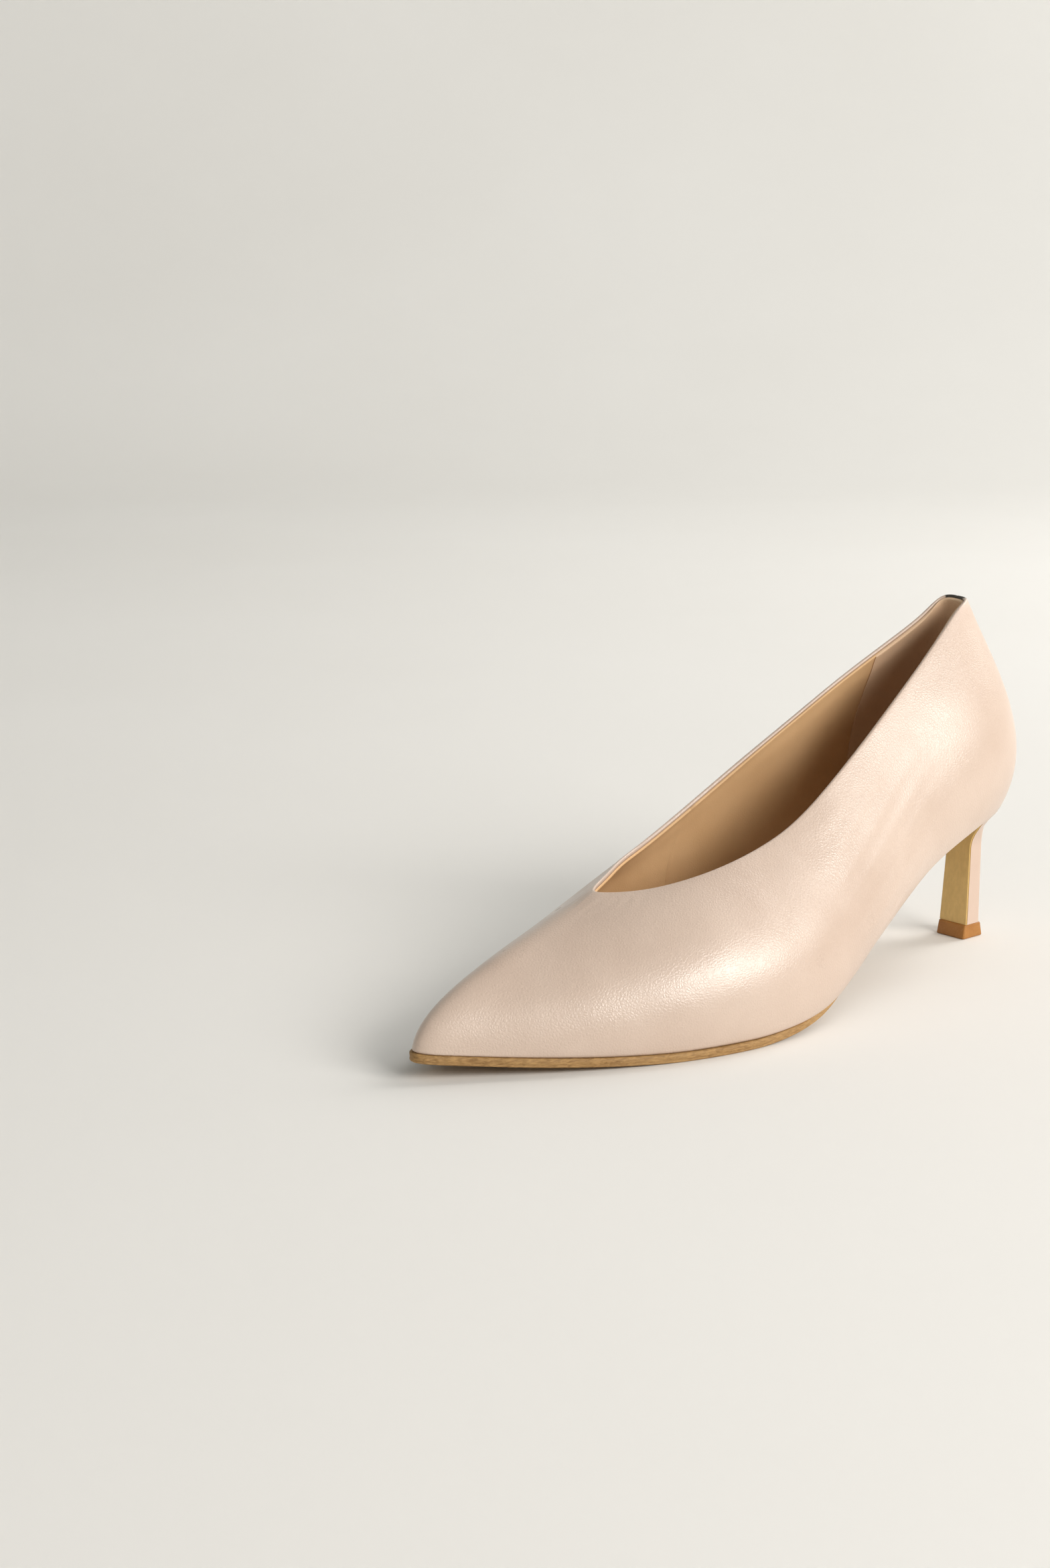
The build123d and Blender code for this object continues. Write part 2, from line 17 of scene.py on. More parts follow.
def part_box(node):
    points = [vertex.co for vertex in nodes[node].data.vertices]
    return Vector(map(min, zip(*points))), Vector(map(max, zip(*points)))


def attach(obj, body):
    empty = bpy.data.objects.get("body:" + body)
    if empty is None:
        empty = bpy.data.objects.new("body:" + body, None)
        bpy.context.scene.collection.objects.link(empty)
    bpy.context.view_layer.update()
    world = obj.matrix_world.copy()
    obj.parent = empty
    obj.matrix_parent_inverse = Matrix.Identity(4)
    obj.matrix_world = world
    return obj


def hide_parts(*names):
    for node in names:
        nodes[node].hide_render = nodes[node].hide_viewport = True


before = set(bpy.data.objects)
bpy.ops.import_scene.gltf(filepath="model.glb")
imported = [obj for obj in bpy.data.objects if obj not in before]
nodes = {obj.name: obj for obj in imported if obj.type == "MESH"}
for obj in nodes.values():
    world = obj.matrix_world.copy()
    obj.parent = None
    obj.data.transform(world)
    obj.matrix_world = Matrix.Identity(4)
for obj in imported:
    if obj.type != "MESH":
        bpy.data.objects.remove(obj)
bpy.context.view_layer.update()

MM = 0.001

# ---------------------------------------------------------------- driving dimensions, mm
SHOE_LENGTH = 242.0
BALL_HEIGHT = 2.8
TREAD_START, TREAD_END = 72.0, 94.0
TOE_SPRING = 5.5
HEEL_RISE = 47.4
ARCH_TILT = 0.105
ARCH_TILT_START, ARCH_TILT_END = 97.0, 200.0

FOLD = 1.3                   # thickness of the folded topline edge
SKIN = 1.0                   # leather of the upper below the fold
FOLD_DEPTH = 8.0             # how far the fold is turned in
LINING_TOP = 1.36            # depth of the lining's back where it meets the fold
LINING_BACK = 2.01           # and further down, behind the stiffeners
LINING_FACE_TOP = 2.2        # depth of the lining's face at its edge
LINING_FACE = 2.71           # and further down
LINING_DROP = 0.80           # lining edge below the topline
FEATHER_LEG = 1.2            # how soon the wall turns into the lasting margin
MARGIN_FRONT, MARGIN_BACK = 12.0, 4.5
OUTSOLE, OUTSOLE_WAIST = 2.8, 2.0
SOCK_LOW, SOCK_HIGH = 6.37, 7.17
SOCK_GAP = 0.12
SOCK_ROUND = 0.3             # bulge of the sock's edge
SOLE_TOP = -0.02             # lift of the outsole's top off the bed
SOLE_ROUND = 0.55            # bulge of the outsole's edge
HEEL_BOTTOM, HEEL_TOP = 5.05, 52.0
HEEL_WIDTH, HEEL_NARROWING = 11.8, 0.06
HEEL_FRONT, HEEL_FRONT_LEAN = 231.9, 0.065
HEEL_BACK, HEEL_BACK_LEAN = 239.1, 0.045
HEEL_CORNER = 0.9
HEEL_WAIST = 32.0
HEEL_FLARE_WIDTH, HEEL_FLARE_ROUND = 44.0, 30.0
HEEL_BREAST_START, HEEL_FLARE_DEPTH = 38.0, 14.0
HEEL_X = 1.0
SEAT_MIDDLE = (-1.0, 222.0)
SEAT_INSET = 0.35            # the heel stays this far inside the feather edge
FLAP_TOP = -0.4              # lift of the flap's upper end off the bed
FLAP_SHOWN = 0.35            # edge of the sole leather seen at the sides of the heel breast
TIP_MIDDLE = 235.5
TIP_CORNER = 0.7
TIP_HEIGHT = 5.0
TIP_WIDTH, TIP_DEPTH = 12.4, 10.2
TIP_TOP_WIDTH, TIP_TOP_DEPTH = 12.0, 8.4

# foot x, foot y, topline x, y, z, top angle, top handle, foot angle, foot handle
STATIONS = np.array([
    (-3.5, 0.0, -1.8, 68.0, 45.0, 24, 0.40, 99, 0.22),
    (6.0, 11.0, 1.8, 69.8, 45.0, 24, 0.40, 95, 0.22),
    (17.0, 29.0, 6.0, 74.5, 45.3, 24, 0.40, 88, 0.26),
    (28.0, 50.0, 10.8, 81.5, 46.3, 26, 0.40, 80, 0.32),
    (37.0, 73.0, 15.6, 92.0, 48.5, 30, 0.40, 72, 0.38),
    (42.0, 97.0, 18.9, 107.0, 52.0, 36, 0.42, 68, 0.38),
    (41.5, 122.0, 20.3, 127.0, 58.5, 46, 0.40, 64, 0.36),
    (35.0, 146.0, 19.2, 147.0, 69.0, 54, 0.40, 60, 0.35),
    (29.0, 171.0, 16.4, 168.0, 81.5, 58, 0.40, 62, 0.34),
    (26.5, 193.0, 13.2, 190.0, 96.0, 56, 0.42, 64, 0.33),
    (25.5, 213.0, 9.8, 209.5, 108.8, 55, 0.44, 64, 0.34),
    (20.0, 231.0, 7.0, 222.5, 117.0, 58, 0.42, 62, 0.35),
    (9.0, 240.0, 4.6, 229.5, 119.8, 62, 0.40, 58, 0.36),
    (-1.0, 242.0, -1.0, 231.5, 120.3, 64, 0.38, 54, 0.37),
    (-11.0, 240.0, -6.6, 229.5, 119.5, 62, 0.40, 58, 0.36),
    (-21.5, 231.0, -8.5, 221.5, 114.0, 56, 0.42, 62, 0.35),
    (-25.5, 213.0, -10.0, 208.5, 107.0, 55, 0.44, 62, 0.33),
    (-23.5, 193.0, -13.0, 188.5, 96.5, 56, 0.42, 62, 0.33),
    (-21.0, 171.0, -16.0, 168.5, 85.0, 58, 0.40, 60, 0.33),
    (-22.0, 147.0, -19.4, 147.5, 72.5, 56, 0.38, 60, 0.33),
    (-28.5, 122.0, -22.6, 126.0, 59.5, 52, 0.38, 64, 0.34),
    (-35.5, 97.0, -23.2, 108.0, 50.5, 46, 0.36, 72, 0.34),
    (-36.0, 73.0, -20.0, 96.0, 47.6, 38, 0.36, 76, 0.34),
    (-30.0, 50.0, -15.0, 87.0, 46.6, 32, 0.38, 82, 0.30),
    (-21.8, 29.0, -10.0, 79.0, 46.0, 28, 0.40, 88, 0.25),
    (-13.0, 11.0, -5.5, 71.5, 45.3, 24, 0.40, 95, 0.22),
], float)
COUNT = len(STATIONS)
BACK = 13
VAMP_END = 6.0               # vamp lining ends at this station on both sides
GRIP_HALF = 3.4              # heel grip, in stations each side of the back
GRIP_LAP = 0.1               # the quarter linings run this far under the grip
GRIP_PROUD = 0.45

# The law is measured from the toe tip; the frame's origin is under the middle of the shoe.
tip_lo, tip_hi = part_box("top_piece")
SHIFT = np.array([(tip_lo[0] + tip_hi[0]) / 2 - HEEL_X * MM,
                  (tip_lo[1] + tip_hi[1]) / 2 - TIP_MIDDLE * MM, 0.0])


# ---------------------------------------------------------------- the law
def smooth(x, low, high):
    t = np.clip((np.asarray(x, float) - low) / (high - low), 0, 1)
    return t * t * (3 - 2 * t)


def bed_height(y):
    y = np.asarray(y, float)
    spring = np.clip(TREAD_START - y, 0, TREAD_START * 1.1) / TREAD_START
    return BALL_HEIGHT + TOE_SPRING * spring ** 1.5 + HEEL_RISE * smooth(y, TREAD_END, SHOE_LENGTH)


def bed(x, y, lift=0.0):
    slope = bed_height(np.asarray(y) + 0.5) - bed_height(np.asarray(y) - 0.5)
    arch = np.clip((np.asarray(y) - ARCH_TILT_START) / (ARCH_TILT_END - ARCH_TILT_START), 0, 1)
    return bed_height(y) - ARCH_TILT * np.sin(np.pi * arch) ** 2 * x + lift * np.hypot(1, slope)


def closed_spline(rows):
    ones = np.eye(len(rows))
    matrix = 4 * ones + np.roll(ones, 1, 0) + np.roll(ones, -1, 0)
    return np.linalg.solve(matrix, 6 * (np.roll(rows, 1, 0) - 2 * rows + np.roll(rows, -1, 0)))


BENDS = closed_spline(STATIONS)


def station(u):
    """The nine station values at places u round the shoe, one row each."""
    u = np.atleast_1d(np.asarray(u, float))
    low = np.floor(u)
    t = (u - low)[:, None]
    i, j = low.astype(int) % COUNT, (low.astype(int) + 1) % COUNT
    straight = (1 - t) * STATIONS[i] + t * STATIONS[j]
    return straight + (((1 - t) ** 3 - (1 - t)) * BENDS[i] + (t ** 3 - t) * BENDS[j]) / 6


def profile(u, samples=81):
    """Top points, directions and outside curves (reach, height) at places u."""
    fx, fy, tx, ty, tz, top_angle, top_handle, foot_angle, foot_handle = station(u).T
    reach = np.hypot(fx - tx, fy - ty)
    heading = np.stack([(fx - tx) / reach, (fy - ty) / reach], 1)
    foot = bed(fx, fy)
    chord = np.hypot(reach, foot - tz)
    a, b = np.radians(top_angle), np.radians(foot_angle)
    zero = np.zeros_like(reach)
    corners = np.stack([
        np.stack([zero, tz], 1),
        np.stack([chord * top_handle * np.cos(a), tz - chord * top_handle * np.sin(a)], 1),
        np.stack([reach + chord * foot_handle * np.cos(b), foot + chord * foot_handle * np.sin(b)], 1),
        np.stack([reach, foot], 1),
    ], 1)
    t = np.linspace(0, 1, samples)[:, None]
    weights = np.hstack([(1 - t) ** 3, 3 * (1 - t) ** 2 * t, 3 * (1 - t) * t * t, t ** 3])
    return np.stack([tx, ty], 1), heading, np.einsum("sk,nkc->nsc", weights, corners)


def spread(top, heading, curve):
    """In-plane points (n, s, 2) as points in space."""
    return np.concatenate([top[:, None] + curve[..., :1] * heading[:, None], curve[..., 1:]], 2)


def inward(u, samples=81):
    """In-plane inward direction at each curve point, stretched so that depths are true."""
    top, heading, curve = profile(u, samples)
    run = np.gradient(curve, axis=1)
    run /= np.linalg.norm(run, axis=2, keepdims=True)
    turn = np.stack([run[..., 1], -run[..., 0]], 2)
    along = spread(*profile(u + 0.05, samples)) - spread(*profile(u - 0.05, samples))
    down = np.concatenate([run[..., :1] * heading[:, None], run[..., 1:]], 2)
    normal = np.cross(along, down)
    normal /= np.linalg.norm(normal, axis=2, keepdims=True)
    turn_space = np.concatenate([turn[..., :1] * heading[:, None], turn[..., 1:]], 2)
    facing = np.abs(np.sum(normal * turn_space, axis=2, keepdims=True))
    return turn / np.maximum(facing, 0.55)


def lengths_of(curve):
    steps = np.linalg.norm(np.diff(curve, axis=1), axis=2)
    return np.concatenate([np.zeros((len(curve), 1)), np.cumsum(steps, 1)], 1)


def pick(curve, lengths, wanted):
    """Points of each curve at the wanted lengths, (n, k) lengths to (n, k, 2) points."""
    return np.stack([np.stack([np.interp(w, l, c[:, k]) for k in (0, 1)], 1)
                     for c, l, w in zip(curve, lengths, wanted)])


def margin_length(u):
    share = 0.5 - 0.5 * np.cos(2 * np.pi * np.asarray(u) / COUNT)
    return MARGIN_FRONT + (MARGIN_BACK - MARGIN_FRONT) * share ** 2


# ---------------------------------------------------------------- seeded unevenness
def waves(points, size, seed, count=14):
    """Smooth random field of about unit height; size is the usual width of a bump."""
    rng = np.random.default_rng(seed)
    total = np.zeros(points.shape[:-1])
    for _ in range(count):
        direction = rng.normal(size=points.shape[-1])
        direction *= rng.uniform(0.6, 1.5) / np.linalg.norm(direction)
        total += np.sin(points @ direction * (2 * np.pi / size) / 2 + rng.uniform(0, 2 * np.pi))
    return total / math.sqrt(count / 2)


# ---------------------------------------------------------------- mesh helpers
SHARP_ANGLE = 58.0           # edges that turn more than this stay crisp


def add_mesh(name, points, faces):
    mesh = bpy.data.meshes.new(name)
    mesh.from_pydata([tuple(p) for p in np.asarray(points).reshape(-1, 3) * MM + SHIFT], [], faces)
    mesh.validate()
    mesh.update()
    mesh.polygons.foreach_set("use_smooth", [True] * len(mesh.polygons))
    piece = bpy.data.objects.new(name, mesh)
    bpy.context.scene.collection.objects.link(piece)
    return piece


def outward(piece):
    """Turns the faces of a closed mesh so that they point out of it."""
    work = bmesh.new()
    work.from_mesh(piece.data)
    bmesh.ops.remove_doubles(work, verts=work.verts, dist=1e-6)
    bmesh.ops.recalc_face_normals(work, faces=work.faces)
    work.to_mesh(piece.data)
    work.free()
    piece.data.polygons.foreach_set("use_smooth", [True] * len(piece.data.polygons))
    piece.data.set_sharp_from_angle(angle=math.radians(SHARP_ANGLE))
    return piece


def swept(name, rows, wrap):
    """Tube through closed loops rows (n, m, 3), closed round by wrap or else by end faces."""
    n, m = rows.shape[:2]
    faces = []
    for i in range(n if wrap else n - 1):
        a, b = i * m, (i + 1) % n * m
        faces += [(a + j, a + (j + 1) % m, b + (j + 1) % m, b + j) for j in range(m)]
    if not wrap:
        faces += [tuple(range(m - 1, -1, -1)), tuple(range((n - 1) * m, n * m))]
    return outward(add_mesh(name, rows, faces))


def dress(piece, material, slot_name, *cad_nodes):
    piece.data.materials.clear()
    piece.data.materials.append(material)
    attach(piece, "root")
    if cad_nodes:
        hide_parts(*cad_nodes)


# ---------------------------------------------------------------- materials
class Maker:
    """Short-hand for one procedural material in object coordinates."""

    def __init__(self, name):
        self.material = bpy.data.materials.new(name)
        self.material.use_nodes = True
        self.tree = self.material.node_tree
        self.shader = next(n for n in self.tree.nodes if n.type == "BSDF_PRINCIPLED")
        self.place = self.add("ShaderNodeTexCoord").outputs["Object"]

    def add(self, kind, **settings):
        node = self.tree.nodes.new(kind)
        for key, value in settings.items():
            setattr(node, key, value)
        return node

    def link(self, source, target):
        self.tree.links.new(source, target)

    def noise(self, scale, detail=3.0, rough=0.55, stretch=None, distortion=0.0):
        node = self.add("ShaderNodeTexNoise")
        node.inputs["Scale"].default_value = scale
        node.inputs["Detail"].default_value = detail
        node.inputs["Roughness"].default_value = rough
        node.inputs["Distortion"].default_value = distortion
        self.link(self.stretched(stretch), node.inputs["Vector"])
        return node.outputs[0]

    def stretched(self, stretch):
        if stretch is None:
            return self.place
        node = self.add("ShaderNodeMapping")
        node.inputs["Scale"].default_value = stretch
        self.link(self.place, node.inputs["Vector"])
        return node.outputs[0]

    def cells(self, scale):
        node = self.add("ShaderNodeTexVoronoi", feature="DISTANCE_TO_EDGE")
        node.inputs["Scale"].default_value = scale
        self.link(self.place, node.inputs["Vector"])
        return node.outputs[0]

    def ramp(self, source, *stops):
        node = self.add("ShaderNodeValToRGB")
        elements = node.color_ramp.elements
        while len(elements) < len(stops):
            elements.new(0.5)
        for element, (place, value) in zip(elements, stops):
            element.position = place
            element.color = (*value, 1) if isinstance(value, tuple) else (value, value, value, 1)
        self.link(source, node.inputs[0])
        return node.outputs[0]

    def math(self, operation, a, b):
        node = self.add("ShaderNodeMath", operation=operation)
        for socket, value in zip(node.inputs, (a, b)):
            if isinstance(value, (int, float)):
                socket.default_value = value
            else:
                self.link(value, socket)
        return node.outputs[0]

    def mix(self, factor, a, b):
        node = self.add("ShaderNodeMix", data_type="RGBA")
        for socket, value in ((node.inputs[0], factor), (node.inputs[6], a), (node.inputs[7], b)):
            if isinstance(value, (int, float)):
                socket.default_value = value
            elif isinstance(value, tuple):
                socket.default_value = (*value, 1)
            else:
                self.link(value, socket)
        return node.outputs[2]

    def bump(self, height, distance, strength=1.0, under=None):
        node = self.add("ShaderNodeBump")
        node.inputs["Distance"].default_value = distance
        node.inputs["Strength"].default_value = strength
        self.link(height, node.inputs["Height"])
        if under is not None:
            self.link(under, node.inputs["Normal"])
        return node.outputs[0]

    def finish(self, colour, rough, normal=None, **uniform):
        self.link(colour, self.shader.inputs["Base Color"])
        self.link(rough, self.shader.inputs["Roughness"])
        if normal is not None:
            self.link(normal, self.shader.inputs["Normal"])
        for key, value in uniform.items():
            self.shader.inputs[key.replace("_", " ")].default_value = value
        return self.material


def leather(name, light, dark, rough_low, rough_high, grain=900.0, grain_depth=0.00006,
            soft_depth=0.0005, **uniform):
    """Dyed leather: cloudy colour, pebble grain, pores and soft unevenness."""
    m = Maker(name)
    cloud = m.noise(28.0, 4.0)
    patch = m.noise(9.0, 2.0)
    speck = m.noise(2600.0, 2.0)
    colour = m.mix(m.ramp(m.math("ADD", m.math("MULTIPLY", cloud, 0.6), m.math("MULTIPLY", patch, 0.4)),
                          (0.35, 0.0), (0.66, 1.0)), dark, light)
    colour = m.mix(m.ramp(speck, (0.40, 0.12), (0.55, 0.0)), colour, dark)
    pebble = m.ramp(m.cells(grain), (0.0, 0.0), (0.30, 1.0))
    pores = m.noise(grain * 2.6, 2.0)
    rough = m.ramp(m.noise(60.0, 3.0), (0.3, rough_low), (0.7, rough_high))
    normal = m.bump(m.noise(75.0, 3.0, 0.5), soft_depth, 0.35)
    normal = m.bump(m.math("ADD", m.math("MULTIPLY", pebble, 0.75), m.math("MULTIPLY", pores, 0.25)),
                    grain_depth, 0.8, normal)
    return m.finish(colour, rough, normal, **uniform)


def sock_leather():
    return leather("sock_leather", (0.66, 0.43, 0.20), (0.54, 0.34, 0.145), 0.50, 0.62,
                   grain=1500.0, grain_depth=0.00002, soft_depth=0.0003)


def sole_edge_leather():
    """Sole leather: smooth buffed faces, layered fuzzy fibre on the trimmed edge."""
    m = Maker("sole_leather")
    fibre = m.noise(420.0, 5.0, 0.7, stretch=(1.0, 1.0, 4.5), distortion=0.6)
    cloud = m.noise(45.0, 3.0)
    grain = m.noise(3000.0, 2.0)
    colour = m.mix(m.ramp(fibre, (0.34, 0.0), (0.62, 1.0)), (0.22, 0.11, 0.03), (0.45, 0.265, 0.10))
    colour = m.mix(m.ramp(cloud, (0.4, 0.0), (0.75, 0.35)), colour, (0.52, 0.33, 0.14))
    normal = m.bump(fibre, 0.00018, 0.7)
    normal = m.bump(grain, 0.00003, 0.6, normal)
    return m.finish(colour, m.ramp(fibre, (0.3, 0.55), (0.7, 0.78)), normal)


# Heel breast flap: its own tan leather, made brighter and yellower as painted warm bounce light.
def breast_leather_and_painted_bounce():
    m = Maker("breast_leather_and_painted_bounce")
    cloud = m.noise(60.0, 4.0, 0.6)
    fibre = m.noise(900.0, 4.0, 0.65, stretch=(1.0, 1.0, 0.35))
    colour = m.mix(m.ramp(cloud, (0.35, 0.0), (0.7, 1.0)), (0.70, 0.475, 0.17), (0.80, 0.56, 0.22))
    colour = m.mix(m.ramp(fibre, (0.42, 0.14), (0.58, 0.0)), colour, (0.42, 0.27, 0.10))
    return m.finish(colour, m.ramp(cloud, (0.3, 0.48), (0.7, 0.6)), m.bump(fibre, 0.00003, 0.7))


def top_piece_rubber():
    m = Maker("top_piece_rubber")
    speck = m.noise(2400.0, 3.0, 0.6)
    cloud = m.noise(160.0, 3.0)
    scuff = m.noise(700.0, 4.0, 0.7, stretch=(0.3, 0.3, 3.0))
    colour = m.mix(m.ramp(cloud, (0.3, 0.0), (0.7, 1.0)), (0.33, 0.125, 0.018), (0.43, 0.19, 0.04))
    colour = m.mix(m.ramp(speck, (0.56, 0.0), (0.68, 0.35)), colour, (0.55, 0.31, 0.12))
    normal = m.bump(scuff, 0.00005, 0.6)
    return m.finish(colour, m.ramp(cloud, (0.3, 0.40), (0.7, 0.52)), m.bump(speck, 0.00003, 0.7, normal))


def make_peak_rim_material():
    """Near-black colour with fine speckle and bump, for the rim at the top of the back peak."""
    m = Maker("peak_rim_dark")
    speck = m.noise(1800.0, 3.0)
    colour = m.mix(m.ramp(speck, (0.35, 0.0), (0.7, 1.0)), (0.020, 0.018, 0.015), (0.075, 0.060, 0.045))
    return m.finish(colour, m.ramp(speck, (0.3, 0.42), (0.7, 0.58)), m.bump(speck, 0.00004, 0.6))


def inner_material(slot_name, dark, light, rough, scale, depth, metallic=0.0, weave=False):
    """Finish of a layer or fastener inside the shoe."""
    m = Maker(slot_name)
    if weave:
        warp = m.add("ShaderNodeTexWave", wave_type="BANDS", bands_direction="X")
        weft = m.add("ShaderNodeTexWave", wave_type="BANDS", bands_direction="Y")
        for node in (warp, weft):
            node.inputs["Scale"].default_value = scale
            m.link(m.place, node.inputs["Vector"])
        pattern = m.math("MAXIMUM", warp.outputs[1], weft.outputs[1])
    else:
        pattern = m.noise(scale, 4.0, 0.65)
    cloud = m.noise(scale * 0.1, 3.0)
    colour = m.mix(m.ramp(pattern, (0.3, 0.0), (0.7, 1.0)), dark, light)
    return m.finish(colour, m.ramp(cloud, (0.3, rough - 0.06), (0.7, rough + 0.06)),
                    m.bump(pattern, depth, 0.6), Metallic=metallic)


upper_leather = leather("upper_leather", (0.640, 0.505, 0.415), (0.560, 0.425, 0.340), 0.27, 0.40,
                        grain=1050.0, Coat_Weight=0.5, Coat_Roughness=0.44, Specular_IOR_Level=0.7)
heel_leather = leather("heel_leather", (0.650, 0.500, 0.408), (0.590, 0.440, 0.350), 0.34, 0.44,
                       grain=1300.0, grain_depth=0.00003, Coat_Weight=0.5, Coat_Roughness=0.44)
lining_leather = leather("lining_leather", (0.80, 0.53, 0.285), (0.66, 0.41, 0.20), 0.55, 0.68,
                         grain=1400.0, grain_depth=0.00004)
grip_leather = leather("heel_grip_leather", (0.80, 0.57, 0.39), (0.66, 0.45, 0.28), 0.72, 0.85,
                       grain=2200.0, grain_depth=0.00005)
sock_material = sock_leather()
sole_material = sole_edge_leather()
breast_material = breast_leather_and_painted_bounce()
rubber_material = top_piece_rubber()
peak_rim_dark = make_peak_rim_material()

# dark and light colour, roughness, scale of the pattern, depth, metal, weave
INNER_FINISHES = {
    "tape": ((0.70, 0.67, 0.60), (0.86, 0.84, 0.79), 0.8, 700, 0.00005, 0.0, True),
    "interlining": ((0.72, 0.70, 0.64), (0.88, 0.86, 0.80), 0.9, 900, 0.00008),
    "stiffener": ((0.50, 0.44, 0.34), (0.66, 0.60, 0.50), 0.8, 500, 0.00006),
    "cork": ((0.12, 0.06, 0.03), (0.42, 0.25, 0.12), 0.9, 600, 0.0002),
    "fibreboard": ((0.12, 0.08, 0.05), (0.24, 0.16, 0.10), 0.8, 900, 0.00006),
    "insole_board": ((0.50, 0.41, 0.29), (0.66, 0.56, 0.42), 0.85, 800, 0.00006),
    "foam": ((0.62, 0.54, 0.34), (0.80, 0.72, 0.50), 0.9, 1200, 0.00012),
    "gel_pad": ((0.60, 0.40, 0.15), (0.74, 0.52, 0.24), 0.35, 300, 0.00002),
    "heel_plastic": ((0.66, 0.63, 0.56), (0.74, 0.71, 0.64), 0.5, 500, 0.00002),
    "spring_steel": ((0.16, 0.16, 0.18), (0.28, 0.28, 0.30), 0.35, 900, 0.00001, 1.0),
    "plated_steel": ((0.50, 0.49, 0.45), (0.66, 0.65, 0.60), 0.3, 1200, 0.00001, 1.0),
}
INNER_MATERIALS = {slot: inner_material(slot, *finish) for slot, finish in INNER_FINISHES.items()}


# ---------------------------------------------------------------- upper
SEAM_DEPTH, SEAM_HALF = 0.35, 0.04
PEAK_HALF, PEAK_DROP, PEAK_FRONT = 5.2, 1.4, 1.6     # near-black colour on the rim at the top of the back peak
CREASE_REACH = 15.0          # length of the creases at the throat
CREASE_RATE, CREASE_HEIGHT = 10.5, 0.075
DRAG_PLACES, DRAG_HALF = (7.6, 19.0), 0.9            # stations of the waist's drag lines


def surface_play(points, u, below):
    """How far the outside stands proud, mm: soft unevenness, throat creases, waist creases."""
    away = np.minimum(u % COUNT, COUNT - u % COUNT)[:, None]
    play = 0.13 * waves(points, 30.0, 3) + 0.045 * waves(points, 12.0, 4)
    play *= smooth(below, 1.0, 9.0)
    # creases run forward and down from the throat, across the direction of u
    ray = u[:, None] * np.ones_like(below)
    ray = np.where(ray > COUNT / 2, ray - COUNT, ray)
    wander = waves(np.stack([ray * 3.0, below * 0.55], 2), 5.0, 5)
    uneven = 0.6 + 0.4 * waves(np.stack([ray * 4, below], 2), 7.0, 6)
    ridges = np.sin(ray * CREASE_RATE + wander * 1.6) * uneven
    window = (smooth(below, 0.6, 3.0) * (1 - smooth(below, 5.0, CREASE_REACH))
              * (1 - smooth(away, 1.6, 3.4)))
    play += CREASE_HEIGHT * ridges * window
    # faint drag lines at the outer and inner waist
    waist = sum(np.exp(-((u[:, None] % COUNT - place) / DRAG_HALF) ** 2) for place in DRAG_PLACES)
    drag = np.sin(below * 0.75 + points[..., 1] * 0.11 + 1.5 * waves(points, 40.0, 8))
    play += 0.10 * drag * waist * smooth(below, 8.0, 16.0)
    return play


def ring_places():
    """Places round the shoe, closer together at the back seam."""
    regular = np.arange(0, COUNT, 1 / 18)
    seam = BACK + np.array([-0.08, -0.045, -0.022, -0.008, 0.0, 0.008, 0.022, 0.045, 0.08])
    keep = regular[np.abs(regular - BACK) > 0.1]
    return np.sort(np.concatenate([keep, seam]))


